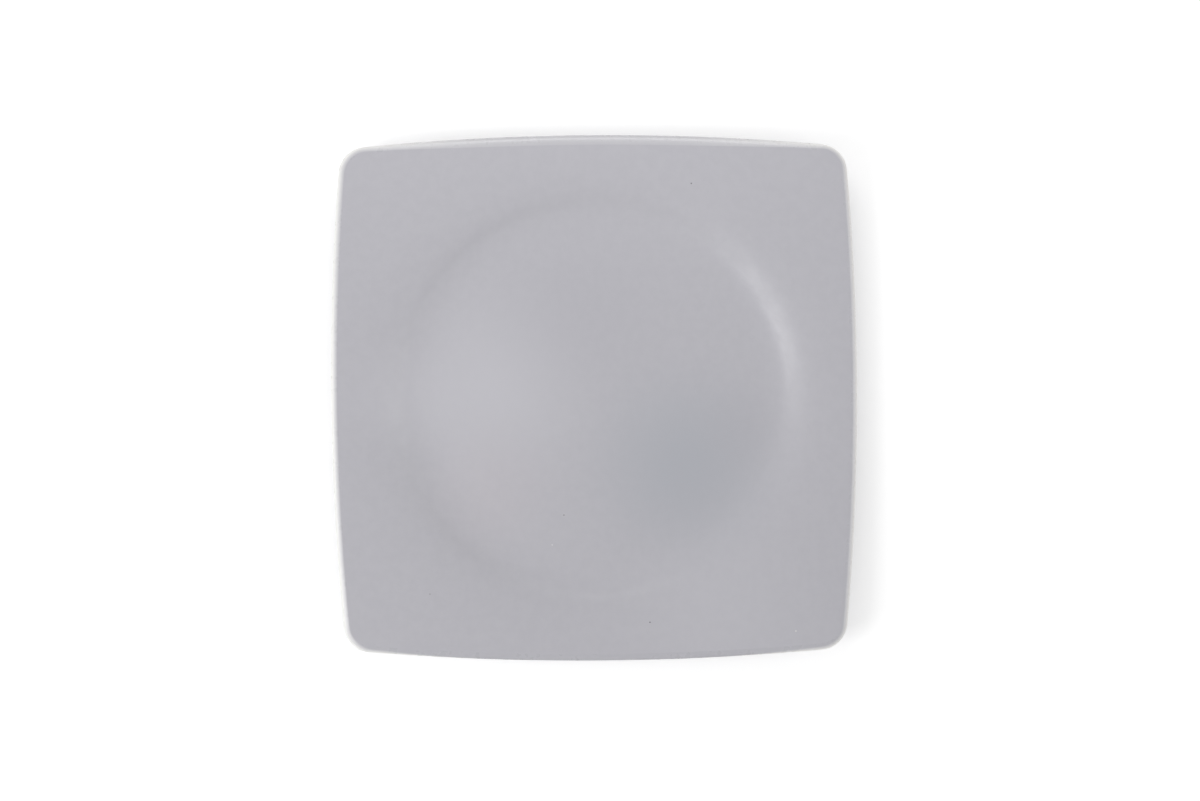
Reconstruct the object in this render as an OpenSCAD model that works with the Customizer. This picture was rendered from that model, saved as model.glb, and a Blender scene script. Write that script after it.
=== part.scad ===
// Square dinner plate of glazed stoneware.
// The round well rolls over into a wide rim, and the rim is trimmed to a square with bowed sides and
// rounded corners. It ends in a rounded lip and stands on a turned foot ring.
// Millimetres. The foot stands on z = 0 round the Z axis, and the sides face X and Y.

/* [Outline] */
// Width of the plate across the middles of two opposite sides
plate_w = 260; // [244:1:300]
// How far the middle of a side stands out beyond a straight line between its ends
side_bow = 6.6; // [3:0.1:10]
// Radius of the corners, seen from above
corner_r = 14.2; // [8:0.2:24]

/* [Well] */
// Diameter of the floor, out to where it starts to turn up
floor_d = 138; // [110:1:160]
// Height of the floor's middle above its edge
crown_h = 2; // [0:0.1:3]
// Diameter of the ring where the wall of the well is steepest
ring_d = 197; // [184:1:206]
// Slope of the wall at that ring, in degrees
wall_angle = 26; // [16:1:34]
// How late the floor turns up into the wall: 1 is an even curve, more is later
wall_ease = 2.8; // [1:0.1:4]

/* [Rim] */
// Slope of the rim, in degrees
rim_angle = 5.7; // [1:0.1:8]
// Distance in which the wall's slope dies away into the rim's
rim_roll = 10.5; // [5:0.5:13]
// Thickness of the rounded lip
lip_t = 5; // [4:0.1:6]
// Distance in from the outline at which the face starts to roll over into the lip
lip_reach = 3.6; // [2:0.1:5]

/* [Body and foot] */
// Thickness of the plate at the edge of its floor
floor_t = 5.5; // [4:0.1:8]
// Outer diameter of the foot ring at its sole
foot_d = 162; // [140:1:170]
// Width of the foot ring at its sole, with the rounded edges
foot_w = 4.4; // [3:0.1:8]
// Height of the foot ring
foot_h = 4.5; // [3:0.1:7]
// Slope of the foot ring's two walls from upright, in degrees
foot_draft = 12; // [0:1:25]
// Radius of the foot ring's rounded edges
foot_edge_r = 0.9; // [0.3:0.1:1.4]
// Radius of the hollow where the foot ring's walls meet the underside
foot_root_r = 1; // [0.3:0.1:1.5]
// Height to which the underside domes up inside the foot ring, under the floor's crown
recess_rise = 1.5; // [0.2:0.1:3]

/* [Glaze] */
// Thickness of the glaze on the well and the rim
face_glaze_t = 0.4; // [0.2:0.05:0.8]
// Thickness of the glaze where it runs thin over the lip
lip_glaze_t = 0.25; // [0.15:0.05:0.5]
// Thickness of the glaze on the underside
back_glaze_t = 0.35; // [0.2:0.05:0.7]
// Width of the bare clay left on each side of the foot ring
wiped_w = 1.5; // [1.3:0.1:3]

/* [Hidden] */

// Sections round one side and round one corner
SIDE_STEPS = 14;
CORNER_STEPS = 6;
// Sections round the whole plate
SECTIONS = 4 * (SIDE_STEPS + CORNER_STEPS);
// Steps of the lip's curve from the face to the underside, with its widest point in the middle
LIP_STEPS = 8;
// Steps of the foot ring's hollow root and of its rounded edge
ROOT_STEPS = 3;
EDGE_STEPS = 3;
// Facets round each turned form
TURN_FN = 144;
// Where the rings of the floor, the wall, the roll, the rim, the underside and the foot's dome lie
floor_shares = [0.5, 1];
wall_shares = [0.32, 0.56, 0.74, 0.88, 1];
roll_shares = [0.3, 0.7, 1.3];
rim_shares = [0.4, 1];
back_shares = [1, 0.62, 0.36, 0.24, 0.12, 0];
recess_shares = [0, 0.2, 0.4, 0.6, 0.8, 1];

half_w = plate_w / 2;
floor_r = floor_d / 2;
ring_r = ring_d / 2;
lip_r = lip_t / 2;
floor_slope = -2 * crown_h / floor_r;
wall_slope = tan(wall_angle);
rim_slope = tan(rim_angle);

// The outline: four side arcs round far centres, and four corner arcs that they meet in a tangent
chord_half = half_w - side_bow;
side_r = (chord_half * chord_half + side_bow * side_bow) / (2 * side_bow);
side_centre = half_w - side_r;
corner_gap = side_r - corner_r;
corner_centre = (side_centre + sqrt(2 * corner_gap * corner_gap - side_centre * side_centre)) / 2;
side_turn = atan2(corner_centre, corner_centre - side_centre);

// The foot ring at its root, the wiped clay on both sides of it, and where the two coats start
foot_r = foot_d / 2;
foot_spread = foot_h * tan(foot_draft);
back_r = foot_r + foot_spread + wiped_w;
recess_r = foot_r - foot_w - foot_spread - wiped_w;
// How much faster the underside rises at the lip than the rim does, because the body thins outwards
thinning = (floor_t - lip_t) / (half_w - back_r);
// How far the foot ring is let into the body, so that the two are one solid
foot_root = floor_t / 4;
// How far the dome's cut runs out below the face that it is made in
overrun = foot_h / 2;

// Directions, in degrees, in which the outline faces at each section
TURNS = [for (side = [0:3]) each concat(
    [for (i = [0:SIDE_STEPS - 1]) 90 * side + side_turn * (2 * i / SIDE_STEPS - 1)],
    [for (i = [0:CORNER_STEPS - 1]) 90 * side + side_turn + (90 - 2 * side_turn) * i / CORNER_STEPS])];

function mix(a, b, share) = a + (b - a) * share;

function ray(angle) = [cos(angle), sin(angle)];

function turned(p, angle) = [p.x * cos(angle) - p.y * sin(angle), p.x * sin(angle) + p.y * cos(angle)];

// A point of the outline, moved inwards by inset, where the outline faces in the direction turn
function outline_point(turn, inset) =
    let (side = floor((turn + side_turn) / 90), local = turn - 90 * side)
    turned(local <= side_turn
        ? [side_centre, 0] + (side_r - inset) * ray(local)
        : [corner_centre, corner_centre] + (corner_r - inset) * ray(local), 90 * side);

// Height of the face over the edge of the floor, at radius r
function face_rise(r) =
    r <= floor_r ? crown_h * (1 - r * r / (floor_r * floor_r))
    : r <= ring_r ? wall_rise(r - floor_r)
    : wall_rise(ring_r - floor_r) + rim_slope * (r - ring_r)
        + (wall_slope - rim_slope) * rim_roll * (1 - exp((ring_r - r) / rim_roll));

// Rise of the wall over its first run of length d
function wall_rise(d) =
    let (whole = ring_r - floor_r)
    floor_slope * d + (wall_slope - floor_slope) * whole * pow(d / whole, wall_ease + 1) / (wall_ease + 1);

// Slope of the face at radius r
function face_slope(r) =
    r <= floor_r ? floor_slope * r / floor_r
    : r <= ring_r
        ? floor_slope + (wall_slope - floor_slope) * pow((r - floor_r) / (ring_r - floor_r), wall_ease)
    : rim_slope + (wall_slope - rim_slope) * exp((ring_r - r) / rim_roll);

function face_z(r) = foot_h + floor_t + face_rise(r);

// A point under the skin of the face by depth, measured square to the face, above the plan point p
function face_point(p, depth) =
    let (r = norm(p), slope = face_slope(r))
    [p.x, p.y, face_z(r) - depth * sqrt(1 + slope * slope)];

// Where the face meets the lip's curve, in plan, and the direction of that place from the middle
function face_end(turn) = outline_point(turn, lip_reach);
function face_angle(turn) = atan2(face_end(turn).y, face_end(turn).x);

// Slope of the face square to the outline, where the lip's curve starts
function lip_slope(turn) = face_slope(norm(face_end(turn))) * cos(face_angle(turn) - turn);

// A point of the lip's curve, half an ellipse that leans with the rim. share is 0 at the face, a half at the
// widest line and 1 at the underside, where the curve leans as the underside does.
function lip_point(turn, share, depth) =
    let (
        slope = lip_slope(turn),
        level = face_z(norm(face_end(turn))) + slope * lip_reach - lip_r,
        swing = mix(90, -90, share),
        fall = (lip_reach - depth) * (1 - cos(swing)),
        plan = outline_point(turn, depth + fall))
    [plan.x, plan.y, level + (lip_r - depth) * sin(swing) - (share > 0.5 ? slope + thinning : slope) * fall];

// A point of the underside's clay: share is 0 beside the foot and 1 at the lip
function back_clay(turn, share) =
    let (
        start = back_r * ray(face_angle(turn)),
        lip = lip_point(turn, 1, lip_glaze_t),
        plan = mix(start, [lip.x, lip.y], share),
        first = face_z(back_r) - foot_h,
        last = face_z(norm([lip.x, lip.y])) - lip.z)
    [plan.x, plan.y, face_z(norm(plan)) - mix(first, last, share)];

// The same point on the glaze's skin
function back_skin(turn, share) =
    let (clay = back_clay(turn, share), slope = face_slope(norm([clay.x, clay.y])))
    [clay.x, clay.y, clay.z - back_glaze_t * sqrt(1 + slope * slope)];

// Rings of points, one point at each section. depth is 0 for the skin and 1 for the clay under it.
function round_ring(r, depth) =
    [for (turn = TURNS) face_point(r * ray(face_angle(turn)), depth * face_glaze_t)];
function rim_ring(share, depth) =
    let (start_r = ring_r + roll_shares[len(roll_shares) - 1] * rim_roll)
    [for (turn = TURNS) share == 1
        ? lip_point(turn, 0, depth * lip_glaze_t)
        : face_point(mix(start_r * ray(face_angle(turn)), face_end(turn), share), depth * face_glaze_t)];
function face_rings(depth) = concat(
    [for (share = floor_shares) round_ring(share * floor_r, depth)],
    [for (share = wall_shares) round_ring(mix(floor_r, ring_r, share), depth)],
    [for (share = roll_shares) round_ring(ring_r + share * rim_roll, depth)],
    [for (share = rim_shares) rim_ring(share, depth)]);
function lip_rings(depth) = [for (i = [0:LIP_STEPS])
    [for (turn = TURNS) lip_point(turn, i / LIP_STEPS, depth * lip_glaze_t)]];
function back_rings(depth) = [for (share = back_shares)
    [for (turn = TURNS) share == 1
        ? lip_point(turn, 1, depth * lip_glaze_t)
        : depth == 0 ? back_skin(turn, share) : back_clay(turn, share)]];

function flat(lists) = [for (list = lists) each list];
function from_second(list) = [for (i = [1:len(list) - 1]) list[i]];

// Triangles between the rings that start at the points a and b. The cut through each four-sided patch is
// the same on both sides of a joint, so a coat and the clay under it meet exactly.
function band(a, b, flipped) = [for (k = [0:SECTIONS - 1])
    let (n = (k + 1) % SECTIONS)
    each flipped
        ? [[a + k, b + n, a + n], [a + k, b + k, b + n]]
        : [[a + k, a + n, b + n], [a + k, b + n, b + k]]];
function bands(first, count, flipped) = [for (i = [0:count - 2])
    each band(first + i * SECTIONS, first + (i + 1) * SECTIONS, flipped)];
// Triangles from one middle point out to the ring that starts at the point a
function fan(middle, a, flipped) = [for (k = [0:SECTIONS - 1])
    let (n = (k + 1) % SECTIONS)
    flipped ? [middle, a + k, a + n] : [middle, a + n, a + k]];

// A coat that lies between rings of skin and rings of clay, and is open in its middle
module open_coat(skin, clay) {
    count = len(skin);
    under = count * SECTIONS;
    polyhedron(
        points = concat(flat(skin), flat(clay)),
        faces = concat(
            bands(0, count, false),
            bands(under, count, true),
            band(0, under, true),
            band((count - 1) * SECTIONS, under + (count - 1) * SECTIONS, false)));
}

// Half section of the dome inside the foot ring, at a depth below its clay, from the middle outwards
function recess_line(depth) = [for (share = recess_shares)
    [share * (recess_r - depth), foot_h + recess_rise * (1 - share * share) - depth]];
function backwards(list) = [for (i = [len(list) - 1:-1:0]) list[i]];

// The fired body: lofted outside, domed inside the foot ring, with the foot ring turned on it
module clay_body() {
    rings = concat(face_rings(1), from_second(lip_rings(1)), from_second(back_rings(1)));
    count = len(rings);
    color("#D9D2C4")
    union() {
        difference() {
            polyhedron(
                points = concat(flat(rings), [[0, 0, face_z(0) - face_glaze_t]]),
                faces = concat(
                    fan(count * SECTIONS, 0, false),
                    bands(0, count, false),
                    [[for (k = [0:SECTIONS - 1]) (count - 1) * SECTIONS + k]]));
            rotate_extrude($fn = TURN_FN)
            polygon(concat(recess_line(0), [[recess_r, foot_h - overrun], [0, foot_h - overrun]]));
        }
        rotate_extrude($fn = TURN_FN) foot_section();
    }
}

// Half of the foot ring's section, from its hollow root down to its sole, as [distance out from the upright
// line at the wall's foot, height]
function foot_line() =
    let (
        root_z = foot_h - foot_root_r,
        root_out = root_z * tan(foot_draft) + foot_root_r / cos(foot_draft),
        lean = foot_edge_r / cos(foot_draft) - foot_edge_r * tan(foot_draft))
    concat(
        [for (i = [0:ROOT_STEPS]) [root_out, root_z]
            + foot_root_r * ray(mix(90, 180 - foot_draft, i / ROOT_STEPS))],
        [for (i = [0:EDGE_STEPS]) [-lean, foot_edge_r]
            + foot_edge_r * ray(mix(-foot_draft, -90, i / EDGE_STEPS))]);

// Half section of the foot ring: a flat sole between rounded edges, leaning walls and hollow roots
module foot_section() {
    half = foot_line();
    top = foot_h + foot_root;
    outer = [for (p = half) [foot_r + p.x, p.y]];
    inner = [for (p = backwards(half)) [foot_r - foot_w - p.x, p.y]];
    polygon(concat([[outer[0].x, top]], outer, inner, [[inner[len(inner) - 1].x, top]]));
}

// The coat over the well and the rim
module face_glaze() {
    skin = face_rings(0);
    clay = face_rings(1);
    count = len(skin);
    under = count * SECTIONS;
    color("#B7B6BC")
    polyhedron(
        points = concat(flat(skin), flat(clay), [[0, 0, face_z(0)], [0, 0, face_z(0) - face_glaze_t]]),
        faces = concat(
            fan(2 * under, 0, false),
            bands(0, count, false),
            fan(2 * under + 1, under, true),
            bands(under, count, true),
            band((count - 1) * SECTIONS, under + (count - 1) * SECTIONS, false)));
}

// The coat where it has run thin over the lip
module lip_glaze() {
    color("#DEDBD6") open_coat(lip_rings(0), lip_rings(1));
}

// The coat on the underside, from the lip in to the wiped clay beside the foot ring
module back_glaze() {
    color("#B3B2B8") open_coat(back_rings(0), back_rings(1));
}

// The coat inside the foot ring
module recess_glaze() {
    color("#B3B2B8")
    rotate_extrude($fn = TURN_FN)
    polygon(concat(recess_line(0), backwards(recess_line(back_glaze_t))));
}

clay_body();
face_glaze();
lip_glaze();
back_glaze();
recess_glaze();
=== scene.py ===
"""Square dinner plate of glazed stoneware, looked down on where it stands on a white ground.

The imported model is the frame. Each of its five nodes is stood for by a finer piece of the same form: the
fired body, the satin coat over the well and the rim, the thin coat over the lip, the coat on the underside
and the coat inside the foot ring. Sizes are in millimetres until a point is placed in its mesh.
"""

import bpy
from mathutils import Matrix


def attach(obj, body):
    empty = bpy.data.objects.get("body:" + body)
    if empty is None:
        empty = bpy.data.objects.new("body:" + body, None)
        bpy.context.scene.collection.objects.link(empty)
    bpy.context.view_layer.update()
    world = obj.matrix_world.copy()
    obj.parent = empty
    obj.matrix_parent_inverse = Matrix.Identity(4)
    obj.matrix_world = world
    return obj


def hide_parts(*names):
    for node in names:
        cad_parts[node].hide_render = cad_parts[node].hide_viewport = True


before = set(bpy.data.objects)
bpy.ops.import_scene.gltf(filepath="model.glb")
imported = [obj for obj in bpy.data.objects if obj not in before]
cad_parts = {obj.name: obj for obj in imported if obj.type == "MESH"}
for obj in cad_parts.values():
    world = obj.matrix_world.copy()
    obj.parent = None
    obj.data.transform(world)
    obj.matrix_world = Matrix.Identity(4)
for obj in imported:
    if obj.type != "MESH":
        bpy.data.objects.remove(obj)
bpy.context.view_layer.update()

import logging
import math
from dataclasses import dataclass, field
from enum import Enum
from functools import cached_property
from typing import ClassVar

import bmesh
import bpy
import numpy as np
from mathutils import Vector

MM = 0.001
# Angles in radians that are closer than this are the same
ROUNDING = 1e-9
BODY = "root"
LOG = logging.getLogger("plate")


class Slot(Enum):
    """The record's material slots."""

    CLAY = "fired_clay"
    FACE = "satin_glaze"
    LIP = "lip_glaze"
    BACK = "back_glaze"


class Side(Enum):
    """The two sides of a coat, as the share of its thickness below the skin."""

    SKIN = 0.0
    CLAY = 1.0


class Middle(Enum):
    """How a shell ends at its first and last ring."""

    CLOSED = "a point on the axis closes each of them"
    JOINED = "the last ring lies on the first"


def mix(a: np.ndarray, b: np.ndarray, share: float | np.ndarray) -> np.ndarray:
    """Goes from a to b as share goes from 0 to 1."""
    return a + (b - a) * share


def ray(angle: np.ndarray) -> np.ndarray:
    """Unit vectors in plan at these angles, in radians, as rows."""
    return np.stack([np.cos(angle), np.sin(angle)], axis=-1)


def grade(start: float, end: float, steps: int, ease: float = 1.0) -> list[float]:
    """Steps from start to end.

    Args:
        start: The first value.
        end: The last value.
        steps: How many steps lie between them.
        ease: Over 1 the steps are small beside start, under 1 beside end.

    Returns:
        The values with both ends, one more than steps.
    """
    return [start + (end - start) * (i / steps) ** ease for i in range(steps + 1)]


@dataclass(frozen=True)
class PlateForm:
    """The plate's sizes in millimetres, with the surfaces that follow from them."""

    plate_w: float = 260.0
    side_bow: float = 6.6
    corner_r: float = 14.2
    floor_d: float = 138.0
    crown_h: float = 2.0
    ring_d: float = 197.0
    wall_angle: float = 26.0
    wall_ease: float = 2.8
    rim_angle: float = 5.7
    rim_roll: float = 10.5
    lip_t: float = 5.0
    lip_reach: float = 3.6
    floor_t: float = 5.5
    foot_d: float = 162.0
    foot_w: float = 4.4
    foot_h: float = 4.5
    foot_draft: float = 12.0
    foot_edge_r: float = 0.9
    foot_root_r: float = 1.0
    recess_rise: float = 1.5
    face_glaze_t: float = 0.4
    lip_glaze_t: float = 0.25
    back_glaze_t: float = 0.35
    wiped_w: float = 1.5
    glaze_bead_w: float = 0.6
    # Radius of the small ring that closes a piece on the axis
    middle_r: float = 0.5
    # The rim's roll is as good as over after this many times its length
    roll_reach: float = 1.4
    # How many parts each stretch of the outline is cut into, and then each stretch across the plate
    side_steps: int = 80
    corner_steps: int = 32
    floor_steps: int = 18
    wall_steps: int = 30
    roll_steps: int = 20
    rim_steps: int = 20
    lip_steps: int = 28
    back_steps: int = 32
    bead_steps: int = 5
    root_steps: int = 6
    edge_steps: int = 7
    recess_steps: int = 16
    # Powers that bring the rings closer where a stretch starts or ends, and more so in a bead
    close_start: float = 1.3
    close_end: float = 0.8
    bead_start: float = 2.0
    bead_end: float = 0.5

    @cached_property
    def half_w(self) -> float:
        """Half of the width across two opposite sides."""
        return self.plate_w / 2

    @cached_property
    def floor_r(self) -> float:
        """Radius of the floor."""
        return self.floor_d / 2

    @cached_property
    def ring_r(self) -> float:
        """Radius of the ring where the wall is steepest."""
        return self.ring_d / 2

    @cached_property
    def slopes(self) -> tuple[float, float, float]:
        """Slopes of the face outwards from the middle.

        Returns:
            The slopes at the floor's edge, at the ring and on the rim, as rise over run.
        """
        return (
            -2 * self.crown_h / self.floor_r,
            math.tan(math.radians(self.wall_angle)),
            math.tan(math.radians(self.rim_angle)),
        )

    @cached_property
    def side_r(self) -> float:
        """Radius of the bowed sides."""
        chord_half = self.half_w - self.side_bow
        return (chord_half**2 + self.side_bow**2) / (2 * self.side_bow)

    @cached_property
    def side_centre(self) -> float:
        """Place of the right side's centre on the X axis."""
        return self.half_w - self.side_r

    @cached_property
    def corner_centre(self) -> float:
        """Both places of a corner's centre, which lies on the diagonal."""
        gap = self.side_r - self.corner_r
        return (self.side_centre + math.sqrt(2 * gap**2 - self.side_centre**2)) / 2

    @cached_property
    def side_turn(self) -> float:
        """Direction in which the right side faces where its corner starts."""
        return math.atan2(self.corner_centre, self.corner_centre - self.side_centre)

    @cached_property
    def turns(self) -> np.ndarray:
        """Directions in which the outline faces at each section, with the corners' sections closer.

        Returns:
            One angle for each section, in radians, from the right side's lower end onwards.
        """
        quarter = math.pi / 2
        side = [self.side_turn * (2 * i / self.side_steps - 1) for i in range(self.side_steps)]
        left = quarter - 2 * self.side_turn
        corner = [self.side_turn + left * i / self.corner_steps for i in range(self.corner_steps)]
        return np.array([quarter * k + turn for k in range(4) for turn in side + corner])

    @cached_property
    def arcs(self) -> tuple[np.ndarray, np.ndarray]:
        """The outline's arc at each section.

        Returns:
            The arcs' centres in plan, one row for each section, and their radii.
        """
        quarter = math.pi / 2
        sides = np.floor((self.turns + self.side_turn) / quarter + ROUNDING)
        on_side = self.turns - quarter * sides <= self.side_turn - ROUNDING
        x = np.where(on_side, self.side_centre, self.corner_centre)
        y = np.where(on_side, 0.0, self.corner_centre)
        cos, sin = np.cos(quarter * sides), np.sin(quarter * sides)
        centre = np.stack([x * cos - y * sin, x * sin + y * cos], axis=-1)
        return centre, np.where(on_side, self.side_r, self.corner_r)

    @cached_property
    def foot_r(self) -> float:
        """Outer radius of the foot ring at its sole."""
        return self.foot_d / 2

    @cached_property
    def foot_spread(self) -> float:
        """How far each of the foot's walls leans out from sole to root."""
        return self.foot_h * math.tan(math.radians(self.foot_draft))

    @cached_property
    def back_r(self) -> float:
        """Radius where the underside's coat starts."""
        return self.foot_r + self.foot_spread + self.wiped_w

    @cached_property
    def recess_r(self) -> float:
        """Radius where the coat inside the foot ring ends."""
        return self.foot_r - self.foot_w - self.foot_spread - self.wiped_w

    def outline(self, inset: float) -> np.ndarray:
        """The outline in plan at each section, moved inwards by inset."""
        centre, radius = self.arcs
        return centre + ray(self.turns) * (radius - inset)[:, None]

    def inset_of(self, points: np.ndarray) -> np.ndarray:
        """How far each section's point lies inside the outline, in plan."""
        centre, radius = self.arcs
        return radius - np.sum((points[:, :2] - centre) * ray(self.turns), axis=1)

    def face_rise(self, r: np.ndarray) -> np.ndarray:
        """Height of the face over the edge of the floor.

        Args:
            r: Distances from the axis.

        Returns:
            The height at each distance.
        """
        floor_slope, wall_slope, rim_slope = self.slopes
        whole = self.ring_r - self.floor_r
        run = np.clip(r - self.floor_r, 0, whole)
        power = self.wall_ease + 1
        wall = floor_slope * run + (wall_slope - floor_slope) * whole * (run / whole) ** power / power
        past = np.clip(r - self.ring_r, 0, None)
        roll = (wall_slope - rim_slope) * self.rim_roll * (1 - np.exp(-past / self.rim_roll))
        floor = self.crown_h * (1 - np.clip(r / self.floor_r, 0, 1) ** 2)
        return floor + wall + rim_slope * past + roll

    def face_slope(self, r: np.ndarray) -> np.ndarray:
        """Slope of the face.

        Args:
            r: Distances from the axis.

        Returns:
            The slope at each distance.
        """
        floor_slope, wall_slope, rim_slope = self.slopes
        run = np.clip((r - self.floor_r) / (self.ring_r - self.floor_r), 0, 1)
        past = np.clip(r - self.ring_r, 0, None)
        inner = np.where(
            r <= self.floor_r,
            floor_slope * r / self.floor_r,
            floor_slope + (wall_slope - floor_slope) * run**self.wall_ease,
        )
        outer = rim_slope + (wall_slope - rim_slope) * np.exp(-past / self.rim_roll)
        return np.where(r <= self.ring_r, inner, outer)

    def face_z(self, r: np.ndarray) -> np.ndarray:
        """Height of the face's skin at radius r."""
        return self.foot_h + self.floor_t + self.face_rise(r)

    def face(self, plan: np.ndarray, depth: float | np.ndarray) -> np.ndarray:
        """Points below the face's skin.

        Args:
            plan: Their places in plan, as rows.
            depth: How far they lie below the skin, measured square to it.

        Returns:
            The points.
        """
        r = np.linalg.norm(plan, axis=1)
        z = self.face_z(r) - depth * np.sqrt(1 + self.face_slope(r) ** 2)
        return np.column_stack([plan, z])

    @cached_property
    def face_end(self) -> np.ndarray:
        """Where the face meets the lip, in plan."""
        return self.outline(self.lip_reach)

    @cached_property
    def face_angle(self) -> np.ndarray:
        """Direction of each section's face end from the middle."""
        return np.arctan2(self.face_end[:, 1], self.face_end[:, 0])

    @cached_property
    def lip_slope(self) -> np.ndarray:
        """Slope of the face across the lip at each section."""
        r = np.linalg.norm(self.face_end, axis=1)
        return self.face_slope(r) * np.cos(self.face_angle - self.turns)

    @cached_property
    def back_slope(self) -> np.ndarray:
        """Slope of the underside across the lip, which is more where the body thins outwards."""
        return self.lip_slope + (self.floor_t - self.lip_t) / (self.half_w - self.back_r)

    def lip(self, share: float, depth: float) -> np.ndarray:
        """Points of the lip's curve, half an ellipse that leans with the rim.

        Args:
            share: 0 at the face, 0.5 at the widest line, 1 at the underside.
            depth: How far the points lie below the skin.

        Returns:
            One point at each section.
        """
        lip_r = self.lip_t / 2
        end_r = np.linalg.norm(self.face_end, axis=1)
        level = self.face_z(end_r) + self.lip_slope * self.lip_reach - lip_r
        swing = math.radians(90 - 180 * share)
        fall = (self.lip_reach - depth) * (1 - math.cos(swing))
        lean = self.lip_slope if share <= 0.5 else self.back_slope
        plan = self.outline(depth + fall)
        return np.column_stack([plan, level + (lip_r - depth) * math.sin(swing) - lean * fall])

    def back(self, share: float, depth: float) -> np.ndarray:
        """Points of the underside, from the wiped clay beside the foot out to the lip.

        Args:
            share: 0 beside the foot, 1 at the lip.
            depth: How far the skin stands out from the clay.

        Returns:
            One point at each section.
        """
        lip = self.lip(1.0, self.lip_glaze_t)
        plan = mix(self.back_r * ray(self.face_angle), lip[:, :2], share)
        r = np.linalg.norm(plan, axis=1)
        first = float(self.face_z(np.array(self.back_r))) - self.foot_h
        last = self.face_z(np.linalg.norm(lip[:, :2], axis=1)) - lip[:, 2]
        z = self.face_z(r) - mix(first, last, share) - depth * np.sqrt(1 + self.face_slope(r) ** 2)
        return np.column_stack([plan, z])

    def turned(self, r: float, z: float) -> np.ndarray:
        """A ring round the axis."""
        return np.column_stack([r * ray(self.face_angle), np.full(len(self.turns), z)])

    def recess_z(self, r: float) -> float:
        """Height of the clay's dome inside the foot ring."""
        return self.foot_h + self.recess_rise * (1 - (r / self.recess_r) ** 2)

    def bead(self, distance: float) -> float:
        """Share of its thickness that a coat has at this distance from its rounded edge."""
        run = min(distance / self.glaze_bead_w, 1.0)
        return math.sqrt(1 - (1 - run) ** 2)

    def face_rings(self, side: Side) -> list[np.ndarray]:
        """Rings of the face from the middle to the lip.

        Args:
            side: The side of the coat that they lie on.

        Returns:
            The rings: round ones as far as the roll reaches, and then ones that grow square.
        """
        round_end = self.ring_r + self.roll_reach * self.rim_roll
        radii = (
            grade(self.middle_r, self.floor_r, self.floor_steps, self.close_start)
            + grade(self.floor_r, self.ring_r, self.wall_steps)[1:]
            + grade(self.ring_r, round_end, self.roll_steps, self.close_start)[1:]
        )
        depth = side.value * self.face_glaze_t
        rings = [self.face(r * ray(self.face_angle), depth) for r in radii]
        start = round_end * ray(self.face_angle)
        for share in grade(0.0, 1.0, self.rim_steps, self.close_end)[1:-1]:
            thin = mix(self.face_glaze_t, self.lip_glaze_t, share)
            rings.append(self.face(mix(start, self.face_end, share), side.value * thin))
        return rings + [self.lip(0.0, side.value * self.lip_glaze_t)]

    def lip_rings(self, side: Side) -> list[np.ndarray]:
        """Rings of the lip from the face to the underside, on one side of its coat."""
        return [self.lip(share, side.value * self.lip_glaze_t) for share in grade(0.0, 1.0, self.lip_steps)]

    def back_rings(self, side: Side) -> list[np.ndarray]:
        """Rings of the underside from the lip to the wiped clay, where the coat ends in a bead.

        Args:
            side: The side of the coat that they lie on.

        Returns:
            The rings.
        """
        skin = 1 - side.value
        span = self.half_w - self.back_r
        rings = [self.lip(1.0, side.value * self.lip_glaze_t)]
        for share in grade(1.0, 0.0, self.back_steps)[1:-1]:
            if share * span > self.glaze_bead_w:
                rings.append(self.back(share, skin * self.back_glaze_t))
        for distance in grade(self.glaze_bead_w, 0.0, self.bead_steps, self.bead_end):
            rings.append(self.back(distance / span, skin * self.back_glaze_t * self.bead(distance)))
        return rings

    def recess_rings(self, side: Side) -> list[np.ndarray]:
        """Rings inside the foot ring, from the wiped clay to the middle.

        Args:
            side: The side of the coat that they lie on.

        Returns:
            The rings.
        """
        skin = 1 - side.value
        radii = [self.recess_r - d for d in grade(0.0, self.glaze_bead_w, self.bead_steps, self.bead_start)]
        radii += grade(radii[-1], self.middle_r, self.recess_steps)[1:]
        depths = [skin * self.back_glaze_t * self.bead(self.recess_r - r) for r in radii]
        return [self.turned(r, self.recess_z(r) - depth) for r, depth in zip(radii, depths)]

    def foot_rings(self) -> list[np.ndarray]:
        """Rings of the foot from its outer root, round the sole, to its inner root.

        Returns:
            The rings, with both walls leaning by the draft and rounded at root and sole.
        """
        draft = math.radians(self.foot_draft)
        edge, root = self.foot_edge_r, self.foot_root_r
        lean = edge / math.cos(draft) - edge * math.tan(draft)
        root_z = self.foot_h - root
        root_out = root_z * math.tan(draft) + root / math.cos(draft)
        half = []
        for angle in grade(math.pi / 2, math.pi - draft, self.root_steps):
            half.append((root_out + root * math.cos(angle), root_z + root * math.sin(angle)))
        for angle in grade(-draft, -math.pi / 2, self.edge_steps):
            half.append((edge * math.cos(angle) - lean, edge * (1 + math.sin(angle))))
        outer = [self.turned(self.foot_r + out, z) for out, z in half]
        inner = [self.turned(self.foot_r - self.foot_w - out, z) for out, z in reversed(half)]
        return outer + inner


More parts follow.
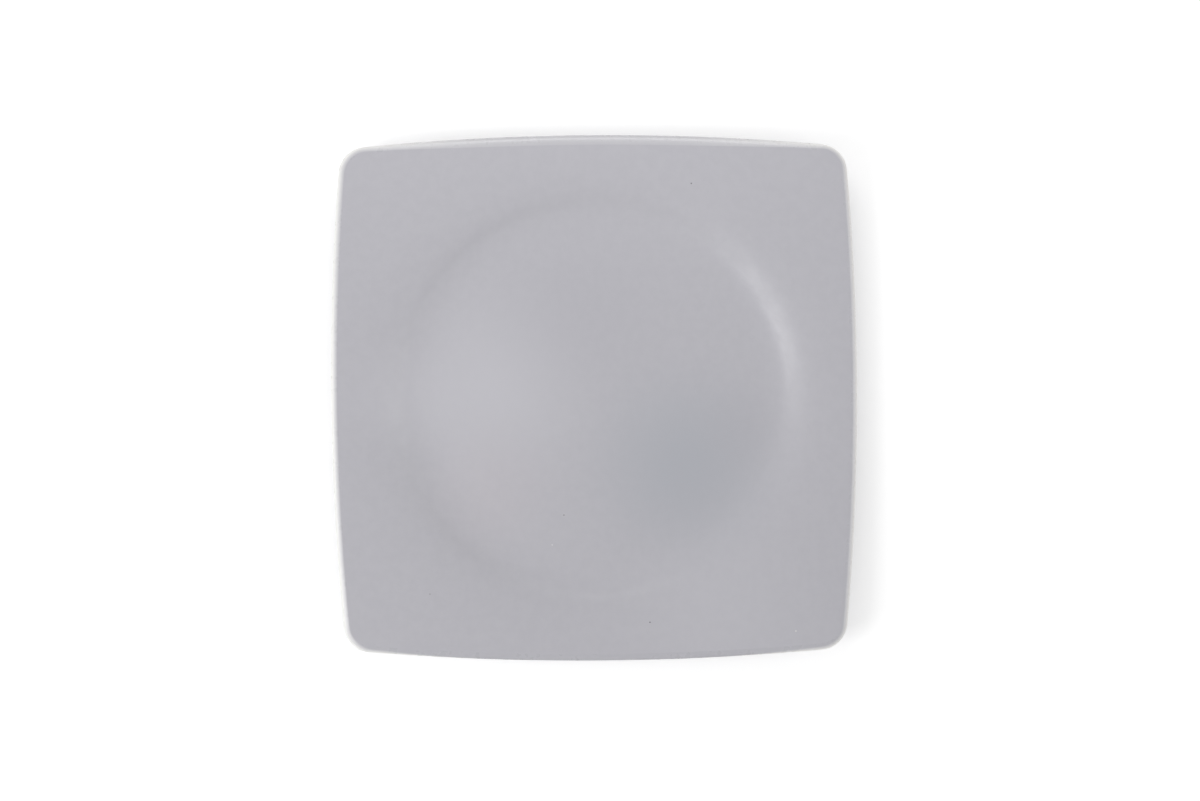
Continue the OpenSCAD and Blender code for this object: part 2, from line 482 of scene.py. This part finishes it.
class Shell:
    """A closed shell, made from an open cylinder that is cut into rings and drawn into shape."""

    RING_GAP = 1.0 * MM
    MERGE_GAP = 0.001 * MM
    # Edges that turn by less than this are shaded smooth
    SMOOTH_ANGLE = math.radians(50)

    def __init__(self, name: str, form: PlateForm, rings: list[np.ndarray], middle: Middle) -> None:
        """Draws the shell.

        Args:
            name: The piece's name.
            form: The form that the rings belong to.
            rings: The rings in order, with one point at each section, in millimetres.
            middle: How the shell ends at its first and last ring.
        """
        self.form = form
        self.rings = rings
        self.height = (len(rings) - 1) * self.RING_GAP
        self.piece = self._cut_cylinder(name)
        self._set_rings()
        self._close(middle)
        bpy.ops.object.mode_set(mode="OBJECT")
        bpy.ops.object.shade_smooth_by_angle(angle=self.SMOOTH_ANGLE)

    def _cut_cylinder(self, name: str) -> bpy.types.Object:
        """Adds an upright cylinder without ends and cuts it into as many rings as the shell has.

        Args:
            name: The piece's name.

        Returns:
            The cylinder, in edit mode.
        """
        bpy.ops.object.select_all(action="DESELECT")
        bpy.ops.mesh.primitive_cylinder_add(
            vertices=len(self.form.turns),
            radius=self.form.half_w * MM,
            depth=self.height,
            end_fill_type="NOTHING",
        )
        piece = bpy.context.object
        piece.name = piece.data.name = name
        bpy.ops.object.mode_set(mode="EDIT")
        bpy.ops.mesh.select_mode(type="EDGE")
        bpy.ops.mesh.select_all(action="DESELECT")
        mesh = bmesh.from_edit_mesh(piece.data)
        for edge in mesh.edges:
            edge.select = abs(edge.verts[0].co.z - edge.verts[1].co.z) > self.height / 2
        bmesh.update_edit_mesh(piece.data)
        bpy.ops.mesh.subdivide_edgering(number_cuts=len(self.rings) - 2, interpolation="LINEAR")
        return piece

    def _set_rings(self) -> None:
        """Moves each ring to its place in the form and notes how far it lies inside the outline."""
        mesh = bmesh.from_edit_mesh(self.piece.data)
        to_edge = mesh.verts.layers.float.new("to_edge")
        count = len(self.form.turns)
        insets = [self.form.inset_of(ring) for ring in self.rings]
        for point in mesh.verts:
            ring = round((point.co.z + self.height / 2) / self.RING_GAP)
            section = round(math.atan2(point.co.x, point.co.y) / math.tau * count) % count
            point[to_edge] = insets[ring][section]
            point.co = Vector(self.rings[ring][section]) * MM
        bmesh.update_edit_mesh(self.piece.data)

    def _close(self, middle: Middle) -> None:
        """Closes the first and last ring and turns the faces outwards.

        Args:
            middle: How the shell ends there.
        """
        bpy.ops.mesh.select_all(action="SELECT")
        bpy.ops.mesh.remove_doubles(threshold=self.MERGE_GAP)
        if middle is Middle.CLOSED:
            bpy.ops.mesh.select_mode(type="EDGE")
            bpy.ops.mesh.select_all(action="DESELECT")
            bpy.ops.mesh.select_non_manifold()
            bpy.ops.mesh.fill_holes(sides=0)
            bpy.ops.mesh.select_mode(type="FACE")
            bpy.ops.mesh.select_all(action="DESELECT")
            bpy.ops.mesh.select_face_by_sides(number=4, type="GREATER")
            bpy.ops.mesh.poke()
        bpy.ops.mesh.select_all(action="SELECT")
        bpy.ops.mesh.normals_make_consistent(inside=False)


def backwards(rings: list[np.ndarray]) -> list[np.ndarray]:
    """The rings in the other order."""
    return rings[::-1]


def linear(hex_colour: str) -> tuple[float, float, float, float]:
    """Turns an sRGB colour to linear.

    Args:
        hex_colour: The colour, such as #B7B6BC.

    Returns:
        Its linear red, green and blue, with full alpha.
    """
    channels = [int(hex_colour[i : i + 2], 16) / 255 for i in (1, 3, 5)]
    bent = [c / 12.92 if c <= 0.04045 else ((c + 0.055) / 1.055) ** 2.4 for c in channels]
    return (*bent, 1.0)


def add_node(
    tree: bpy.types.NodeTree, kind: str, settings: dict | None = None, inputs: dict | None = None
) -> bpy.types.Node:
    """Adds a node with its settings, values and links.

    Args:
        tree: The node tree.
        kind: The node's type name.
        settings: Property names and values.
        inputs: Socket names or numbers, each with a value or with the output that it is linked to.

    Returns:
        The node.
    """
    node = tree.nodes.new(kind)
    for key, value in (settings or {}).items():
        setattr(node, key, value)
    for key, value in (inputs or {}).items():
        if isinstance(value, bpy.types.NodeSocket):
            tree.links.new(value, node.inputs[key])
        else:
            node.inputs[key].default_value = value
    return node


def empty_material(name: str) -> tuple[bpy.types.Material, bpy.types.NodeTree]:
    """Makes a material with an empty node tree.

    Args:
        name: Its name.

    Returns:
        The material and its tree.
    """
    material = bpy.data.materials.new(name)
    material.use_nodes = True
    material.node_tree.nodes.clear()
    return material, material.node_tree


@dataclass(frozen=True)
class ShadePatch:
    """A broad soft patch of painted light or painted shade, which tints the glaze paler where it stands for
    light and darker where it stands for shade.
    """

    at: tuple[float, float]
    radius: float
    colour: str
    strength: float


@dataclass(frozen=True)
class Speck:
    """A pinhole or a grain of grit in the glaze, at its place on the plate."""

    at: tuple[float, float]
    radius: float
    colour: str


class Pattern:
    """What the finishes' patterns are made with: places on the piece, in metres, and sums on them."""

    # Nearly all values of a noise lie between these two
    NOISE_SPAN = (0.3, 0.7)

    def __init__(self, tree: bpy.types.NodeTree) -> None:
        """Adds the nodes for places in space and in plan.

        Args:
            tree: The material's node tree.
        """
        self.tree = tree
        self.place = add_node(tree, "ShaderNodeTexCoord").outputs["Object"]
        apart = add_node(tree, "ShaderNodeSeparateXYZ", inputs={0: self.place})
        self.x, self.y = apart.outputs["X"], apart.outputs["Y"]
        plan = add_node(tree, "ShaderNodeCombineXYZ", inputs={"X": self.x, "Y": self.y})
        self.plan = plan.outputs[0]

    def noise(self, size: float, detail: float = 2.0, roughness: float = 0.5) -> bpy.types.NodeSocket:
        """Adds a soft noise from 0 to 1.

        Args:
            size: How far its blots are across, in millimetres.
            detail: How many finer noises lie on it.
            roughness: How strong each of these is.

        Returns:
            The noise's value.
        """
        settings = {"noise_dimensions": "3D"}
        inputs = {"Vector": self.place, "Scale": 1 / (size * MM), "Detail": detail, "Roughness": roughness}
        return add_node(self.tree, "ShaderNodeTexNoise", settings, inputs).outputs[0]

    def spread(
        self, value: bpy.types.NodeSocket, span: tuple[float, float], to: tuple[float, float]
    ) -> bpy.types.NodeSocket:
        """Maps a value smoothly from one span to another.

        Args:
            value: The value.
            span: Where it starts and ends.
            to: What these two become.

        Returns:
            The mapped value, held within its ends.
        """
        inputs = {"Value": value, 1: span[0], 2: span[1], 3: to[0], 4: to[1]}
        settings = {"interpolation_type": "SMOOTHSTEP"}
        return add_node(self.tree, "ShaderNodeMapRange", settings, inputs).outputs[0]

    def math(
        self, operation: str, a: float | bpy.types.NodeSocket, b: float | bpy.types.NodeSocket
    ) -> bpy.types.NodeSocket:
        """Works a sum on two values."""
        return add_node(self.tree, "ShaderNodeMath", {"operation": operation}, {0: a, 1: b}).outputs[0]

    def spot(self, at: tuple[float, float], inner: float, outer: float) -> bpy.types.NodeSocket:
        """Adds a round spot in plan with a soft edge.

        Args:
            at: Its middle, in millimetres.
            inner: The radius within which it is 1.
            outer: The radius beyond which it is 0.

        Returns:
            The spot's value.
        """
        centre = (at[0] * MM, at[1] * MM, 0.0)
        far = add_node(
            self.tree, "ShaderNodeVectorMath", {"operation": "DISTANCE"}, {0: self.plan, 1: centre}
        )
        return self.spread(far.outputs["Value"], (inner * MM, outer * MM), (1.0, 0.0))

    def tint(
        self,
        share: bpy.types.NodeSocket,
        under: tuple[float, float, float, float] | bpy.types.NodeSocket,
        over: tuple[float, float, float, float],
    ) -> bpy.types.NodeSocket:
        """Lays one colour over another by a share from 0 to 1."""
        settings = {"data_type": "RGBA", "blend_type": "MIX"}
        return add_node(self.tree, "ShaderNodeMix", settings, {0: share, 6: under, 7: over}).outputs[2]


@dataclass(frozen=True)
class SatinGlaze:
    """Satin stoneware glaze, sprayed on and fired, in a lilac grey.

    It gives the eye a soft, wide sheen, a colour that is almost even, with broad pale and dark patches of
    painted light and shade, a faint mottling, a few pinholes, and a pale break where it runs thin over the
    lip, widened by painted light on the -X side and left out at -Y, where the lip is in painted shade.
    """

    name: str = "satin_glazed_stoneware"
    colour: str = "#B7B6BC"
    # Colour of the pale edge: thin glaze over pale clay, made paler still as painted light on the lip
    thin_glaze_and_highlight_colour: str = "#F4F3F1"
    mottle_colour: str = "#AAA9B0"
    roughness: tuple[float, float] = (0.31, 0.37)
    # Blots of the mottling, and of the peel of the skin with its depth
    mottle_size: float = 5.0
    mottle_detail: float = 4.0
    mottle_roughness: float = 0.6
    mottle_share: float = 0.22
    peel_size: float = 2.4
    peel_depth: float = 0.006
    # A speck's full-strength core as a share of its radius, and how deep it sits in the skin
    speck_core: float = 0.4
    speck_depth: float = 0.06
    ior: float = 1.5
    # Width of the pale break inwards from the outline, what the +Y side adds to it, what the -X side adds as
    # painted light where the lip faces the lamps, and what is left at -Y, almost nothing, so that the lip
    # there is in painted shade
    break_w: float = 2.35
    break_w_far: float = 2.5
    lit_break_w_left: float = 0.9
    shaded_break_w_near: float = 0.002
    # The +Y side's wider break is fainter, and its thinness is raised to this power, which evens it out
    break_share_far: float = 0.22
    break_power_far: float = 0.35
    # How thin the coat is at shares of that width
    break_shares: tuple[tuple[float, float], ...] = (
        (0.0, 1.0), (0.3, 0.9), (0.55, 0.5), (0.8, 0.24), (0.95, 0.12), (1.0, 0.0)
    )
    # The painted light that the -X side adds fades out round its corners, as far as this from the middle of
    # the plate
    left_end: float = 112.0
    # Patches of painted light and shade laid over the glaze's colour
    shade_patches: tuple[ShadePatch, ...] = ()
    specks: tuple[Speck, ...] = ()

    def material(self, form: PlateForm) -> bpy.types.Material:
        """Builds the material.

        Args:
            form: The form that the glaze lies on.

        Returns:
            The material.
        """
        material, tree = empty_material(self.name)
        pattern = Pattern(tree)
        mottle = pattern.noise(self.mottle_size, self.mottle_detail, self.mottle_roughness)
        blots = pattern.spread(mottle, pattern.NOISE_SPAN, (0.0, self.mottle_share))
        colour = pattern.tint(blots, linear(self.colour), linear(self.mottle_colour))
        # Pale and dark patches of painted light and shade, each laid over the colour by its strength
        for shade_patch in self.shade_patches:
            soft = pattern.spot(shade_patch.at, 0.0, shade_patch.radius)
            share = pattern.math("MULTIPLY", soft, shade_patch.strength)
            colour = pattern.tint(share, colour, linear(shade_patch.colour))
        # The pale edge: the thin glaze at the lip, with painted light added at -X and painted shade at -Y
        colour = pattern.tint(self._thin_glaze_and_lip_light(pattern, form), colour, linear(self.thin_glaze_and_highlight_colour))
        height = pattern.math("MULTIPLY", pattern.noise(self.peel_size), self.peel_depth)
        for speck in self.specks:
            dot = pattern.spot(speck.at, self.speck_core * speck.radius, speck.radius)
            colour = pattern.tint(dot, colour, linear(speck.colour))
            height = pattern.math("SUBTRACT", height, pattern.math("MULTIPLY", dot, self.speck_depth))
        bump = add_node(tree, "ShaderNodeBump", inputs={"Strength": 1.0, "Distance": MM, "Height": height})
        shader = add_node(
            tree,
            "ShaderNodeBsdfPrincipled",
            inputs={
                "Base Color": colour,
                "Roughness": pattern.spread(mottle, pattern.NOISE_SPAN, self.roughness),
                "IOR": self.ior,
                "Normal": bump.outputs[0],
            },
        )
        add_node(tree, "ShaderNodeOutputMaterial", inputs={"Surface": shader.outputs["BSDF"]})
        return material

    def _thin_glaze_and_lip_light(self, pattern: Pattern, form: PlateForm) -> bpy.types.NodeSocket:
        """Works out the pale edge by the distance inside the outline in its to_edge attribute: how thin the
        coat has run, with painted light at -X and painted shade at -Y.

        Args:
            pattern: The material's pattern.
            form: The form that the glaze lies on.

        Returns:
            The share of the pale colour, 0 where the coat is whole and 1 where it has run bare, more at -X as
            painted light and almost none at -Y as painted shade.
        """
        # How far the ends and the middle of a side lie from the middle of the plate
        end, middle = form.half_w - form.side_bow, form.half_w
        attribute = add_node(pattern.tree, "ShaderNodeAttribute", {"attribute_name": "to_edge"})
        edge = attribute.outputs["Fac"]
        x, y = pattern.math("DIVIDE", pattern.x, MM), pattern.math("DIVIDE", pattern.y, MM)
        left_x = pattern.math("SUBTRACT", x, edge)
        far_y, near_y = pattern.math("ADD", y, edge), pattern.math("SUBTRACT", y, edge)
        # The width that the -X side adds is painted light, and the narrow width left at -Y is painted shade
        left = pattern.spread(left_x, (-end, -self.left_end), (self.lit_break_w_left, 0.0))
        far = pattern.spread(far_y, (end, middle), (0.0, self.break_w_far))
        near = pattern.spread(near_y, (-middle, -end), (self.shaded_break_w_near, self.break_w))
        width = pattern.math("ADD", pattern.math("ADD", near, far), left)
        share = pattern.math("DIVIDE", edge, width)
        ramp = add_node(pattern.tree, "ShaderNodeValToRGB", inputs={0: share})
        stops = ramp.color_ramp.elements
        while len(stops) < len(self.break_shares):
            stops.new(0.5)
        for stop, (place, value) in zip(stops, self.break_shares):
            stop.position = place
            stop.color = (value, value, value, 1.0)
        power = pattern.spread(far_y, (end, middle), (1.0, self.break_power_far))
        faint = pattern.spread(far_y, (end, middle), (1.0, self.break_share_far))
        return pattern.math("MULTIPLY", pattern.math("POWER", ramp.outputs[0], power), faint)


@dataclass(frozen=True)
class BareClay:
    """Bare fired stoneware, turned on the wheel and wiped clean of glaze before the firing.

    It gives the eye a dry, matt, warm ground with fine grain, faint rings from the turning tool and a few
    darker grains of iron.
    """

    name: str = "bare_fired_stoneware"
    colour: str = "#D6CEC0"
    dark_colour: str = "#BDB1A0"
    iron_colour: str = "#8F7B66"
    roughness: float = 0.85
    ior: float = 1.5
    # Sand grains are 0.2 mm, too fine to show, so they are drawn as 0.7 mm
    grain_size: float = 0.7
    grain_roughness: float = 0.7
    grain_span: tuple[float, float] = (0.45, 0.75)
    grain_share: float = 0.35
    grain_depth: float = 0.02
    blot_size: float = 9.0
    blot_share: float = 0.5
    detail: float = 3.0
    # Gap between grains of iron, and their radius as a share of it
    iron_gap: float = 5.0
    iron_share: float = 0.07
    # Pitch of the turning rings, how much they wander, and how deep they are beside the grain
    turning_pitch: float = 0.8
    turning_wander: float = 0.4
    turning_share: float = 0.5
    # The wave texture runs through this many radians from one unit of its scale to the next
    WAVE_RADIANS: ClassVar[float] = 20.0

    def material(self) -> bpy.types.Material:
        """Builds the material.

        Returns:
            The material.
        """
        material, tree = empty_material(self.name)
        pattern = Pattern(tree)
        grain = pattern.noise(self.grain_size, self.detail, self.grain_roughness)
        blots = pattern.spread(
            pattern.noise(self.blot_size, self.detail), pattern.NOISE_SPAN, (0.0, self.blot_share)
        )
        colour = pattern.tint(blots, linear(self.colour), linear(self.dark_colour))
        fine = pattern.spread(grain, self.grain_span, (0.0, self.grain_share))
        colour = pattern.tint(fine, colour, linear(self.dark_colour))
        cells = add_node(
            tree,
            "ShaderNodeTexVoronoi",
            {"voronoi_dimensions": "3D"},
            {"Vector": pattern.place, "Scale": 1 / (self.iron_gap * MM)},
        )
        iron = pattern.spread(cells.outputs["Distance"], (0.5 * self.iron_share, self.iron_share), (1.0, 0.0))
        colour = pattern.tint(iron, colour, linear(self.iron_colour))
        scale = math.tau / (self.WAVE_RADIANS * self.turning_pitch * MM)
        rings = add_node(
            tree,
            "ShaderNodeTexWave",
            {"wave_type": "RINGS", "rings_direction": "Z"},
            {"Vector": pattern.place, "Scale": scale, "Distortion": self.turning_wander},
        )
        turned = pattern.math("MULTIPLY", rings.outputs["Fac"], self.turning_share)
        height = pattern.math("ADD", grain, turned)
        bump = add_node(
            tree,
            "ShaderNodeBump",
            inputs={"Strength": 1.0, "Distance": self.grain_depth * MM, "Height": height},
        )
        shader = add_node(
            tree,
            "ShaderNodeBsdfPrincipled",
            inputs={
                "Base Color": colour,
                "Roughness": self.roughness,
                "IOR": self.ior,
                "Normal": bump.outputs[0],
            },
        )
        add_node(tree, "ShaderNodeOutputMaterial", inputs={"Surface": shader.outputs["BSDF"]})
        return material


@dataclass
class Plate:
    """The plate: its form, its five pieces and what each is finished in."""

    form: PlateForm = field(default_factory=PlateForm)
    face_glaze: SatinGlaze = SatinGlaze(
        # Painted light and shade: pale patches on the left of the floor, on the left wall and on the rim at
        # the lower right, dark patches on the right and lower right of the floor and above its middle, and a
        # faint warm pale one at its lower left
        shade_patches=(
            ShadePatch((-48, 8), 62, "#BFBEC4", 0.75),
            ShadePatch((44, -32), 62, "#ABADB4", 0.85),
            ShadePatch((-52, -44), 44, "#BEB6BB", 0.2),
            ShadePatch((-8, 45), 64, "#ABAAB1", 0.3),
            ShadePatch((-98, 2), 36, "#C3C2C8", 0.35),
            ShadePatch((76, -15), 32, "#ABAAB1", 0.25),
            ShadePatch((64, -116), 70, "#C3C2C8", 0.26),
        ),
        specks=(
            Speck((48.5, 106.0), 0.5, "#77757B"),
            Speck((-15.5, -58.0), 0.45, "#807E84"),
            Speck((27.0, -111.0), 0.5, "#77757B"),
            Speck((99.0, -115.0), 0.5, "#D8D6D6"),
            Speck((-82.0, -96.0), 0.4, "#8A888E"),
            Speck((-21.5, -73.0), 0.5, "#CFCDD0"),
        ),
    )
    lip_glaze: SatinGlaze = SatinGlaze(name="thin_glaze_over_lip", roughness=(0.26, 0.32))
    back_glaze: SatinGlaze = SatinGlaze(name="satin_glazed_underside")
    clay: BareClay = field(default_factory=BareClay)

    def build(self) -> None:
        """Makes the five pieces."""
        form = self.form
        body = form.face_rings(Side.CLAY) + form.lip_rings(Side.CLAY)[1:] + form.back_rings(Side.CLAY)[1:]
        body += form.foot_rings() + form.recess_rings(Side.CLAY)
        clay = self.clay.material()
        glaze = self.face_glaze.material(form)
        thin = self.lip_glaze.material(form)
        back = self.back_glaze.material(form)
        self._add("fired_body", "clay_body", body, Middle.CLOSED, clay)
        face = form.face_rings(Side.SKIN) + backwards(form.face_rings(Side.CLAY))
        self._add("face_coat", "face_glaze", face, Middle.CLOSED, glaze)
        lip = form.lip_rings(Side.SKIN) + backwards(form.lip_rings(Side.CLAY))
        self._add("lip_coat", "lip_glaze", lip + lip[:1], Middle.JOINED, thin)
        under = form.back_rings(Side.SKIN) + backwards(form.back_rings(Side.CLAY))
        self._add("underside_coat", "back_glaze", under + under[:1], Middle.JOINED, back)
        recess = backwards(form.recess_rings(Side.CLAY)) + form.recess_rings(Side.SKIN)
        self._add("recess_coat", "recess_glaze", recess, Middle.CLOSED, back)

    def _add(
        self,
        name: str,
        node: str,
        rings: list[np.ndarray],
        middle: Middle,
        material: bpy.types.Material,
    ) -> None:
        """Draws one piece, dresses it and sets it on the frame in the place of its CAD node.

        Args:
            name: The piece's name.
            node: The CAD node that it stands for.
            rings: Its rings in order.
            middle: How it ends at its first and last ring.
            material: What it is finished in.
        """
        piece = Shell(name, self.form, rings, middle).piece
        piece.data.materials.append(material)
        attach(piece, BODY)
        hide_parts(node)
        LOG.info("%s: %d faces, in the place of %s", name, len(piece.data.polygons), node)


@dataclass(frozen=True)
class SoftLamp:
    """A square soft box that faces the plate's middle: angles in degrees, power in watts, sizes in metres."""

    name: str
    azimuth: float
    elevation: float
    power: float
    size: float = 0.8
    distance: float = 1.5

    def add(self) -> None:
        """Adds the lamp."""
        azimuth, elevation = math.radians(self.azimuth), math.radians(self.elevation)
        flat = math.cos(elevation)
        way = Vector((math.cos(azimuth) * flat, math.sin(azimuth) * flat, math.sin(elevation)))
        bpy.ops.object.light_add(type="AREA", location=way * self.distance)
        lamp = bpy.context.object
        lamp.name = lamp.data.name = self.name
        lamp.data.shape = "SQUARE"
        lamp.data.size = self.size
        lamp.data.energy = self.power
        lamp.rotation_euler = way.to_track_quat("Z", "Y").to_euler()
        LOG.info("lamp %s: %.1f W", self.name, self.power)


@dataclass
class Studio:
    """The white paper, the lamps and the camera."""

    # Width of the paper in metres, and how far it lies below the sole, so that the two faces stay apart
    paper_w: float = 12.0
    paper_gap: float = 0.02
    paper_colour: str = "#F2F2F2"
    # Strength of the paper's glow beside the plate, which rises to white between these two radii, past
    # what the lamps reach
    glow: float = 0.3
    lit_r: tuple[float, float] = (380.0, 1000.0)
    # Where the cut under the foot ring ends
    cut_r: tuple[float, float] = (80.0, 80.7)
    world: float = 0.586
    lens: float = 54.0
    sensor: float = 36.0
    camera_at: tuple[float, float, float] = (5.27, 34.98, 906.5)
    camera_tilt: tuple[float, float, float] = (-2.29, 0.138, -0.371)
    lamps: list[SoftLamp] = field(
        default_factory=lambda: [
            SoftLamp("left_box", 206, 51, 2.2, size=0.35, distance=0.95),
            SoftLamp("left_low_box", 190, 26, 1.5, size=0.35, distance=1.0),
            SoftLamp("right_fill", -4, 49, 2.0, size=0.6, distance=1.17),
            SoftLamp("far_fill", 90, 42, 0.45, size=0.22, distance=0.45),
            SoftLamp("near_fill", 270, 35, 0.8, size=0.5, distance=1.3),
        ]
    )

    def build(self) -> None:
        """Adds them all."""
        self._paper()
        self._world()
        self._camera()
        for lamp in self.lamps:
            lamp.add()

    def _paper(self) -> None:
        """Matt white paper, which glows a little to the camera, so that it stays white and keeps the shadow.

        From below it is clear, so that the plate's underside can be looked at, and it is cut away under the
        foot ring, where the plate hides it, so that light reaches the sole and the recess.
        """
        bpy.ops.mesh.primitive_plane_add(size=self.paper_w, location=(0, 0, -self.paper_gap * MM))
        paper = bpy.context.object
        paper.name = "ground"
        material, tree = empty_material("matt_white_paper")
        path = add_node(tree, "ShaderNodeLightPath")
        pattern = Pattern(tree)
        mirrored = pattern.math("MAXIMUM", path.outputs["Is Glossy Ray"], path.outputs["Is Transmission Ray"])
        seen = pattern.math("MAXIMUM", path.outputs["Is Camera Ray"], mirrored)
        lit = add_node(tree, "ShaderNodeBsdfDiffuse", inputs={"Color": linear(self.paper_colour)})
        near = pattern.spot((0.0, 0.0), *self.lit_r)
        glow = pattern.spread(near, (0.0, 1.0), (1.0, self.glow))
        strength = pattern.math("MULTIPLY", seen, glow)
        shine = add_node(tree, "ShaderNodeEmission", inputs={"Strength": strength})
        both = add_node(tree, "ShaderNodeAddShader", inputs={0: lit.outputs[0], 1: shine.outputs[0]})
        from_below = add_node(tree, "ShaderNodeNewGeometry").outputs["Backfacing"]
        open_to_light = pattern.math("MAXIMUM", from_below, pattern.spot((0.0, 0.0), *self.cut_r))
        clear = add_node(tree, "ShaderNodeBsdfTransparent")
        surface = add_node(
            tree, "ShaderNodeMixShader", inputs={0: open_to_light, 1: both.outputs[0], 2: clear.outputs[0]}
        )
        add_node(tree, "ShaderNodeOutputMaterial", inputs={"Surface": surface.outputs[0]})
        paper.data.materials.append(material)

    def _world(self) -> None:
        """A plain world that is white to the camera and a soft fill to the plate."""
        world = bpy.data.worlds.new("plain_room")
        bpy.context.scene.world = world
        world.use_nodes = True
        tree = world.node_tree
        tree.nodes.clear()
        path = add_node(tree, "ShaderNodeLightPath")
        fill = add_node(tree, "ShaderNodeBackground", inputs={"Strength": self.world})
        white = add_node(tree, "ShaderNodeBackground", inputs={"Strength": 1.0})
        both = add_node(
            tree,
            "ShaderNodeMixShader",
            inputs={0: path.outputs["Is Camera Ray"], 1: fill.outputs[0], 2: white.outputs[0]},
        )
        add_node(tree, "ShaderNodeOutputWorld", inputs={"Surface": both.outputs[0]})

    def _camera(self) -> None:
        """The camera, almost straight above the plate."""
        place = [value * MM for value in self.camera_at]
        turn = [math.radians(value) for value in self.camera_tilt]
        bpy.ops.object.camera_add(location=place, rotation=turn)
        camera = bpy.context.object
        camera.data.lens = self.lens
        camera.data.sensor_width = self.sensor
        bpy.context.scene.camera = camera


def main() -> None:
    """Builds the plate and the studio."""
    logging.basicConfig(level=logging.INFO, format="%(name)s: %(message)s")
    bpy.context.scene.view_settings.view_transform = "Standard"
    Plate().build()
    Studio().build()


if __name__ == "__main__":
    main()
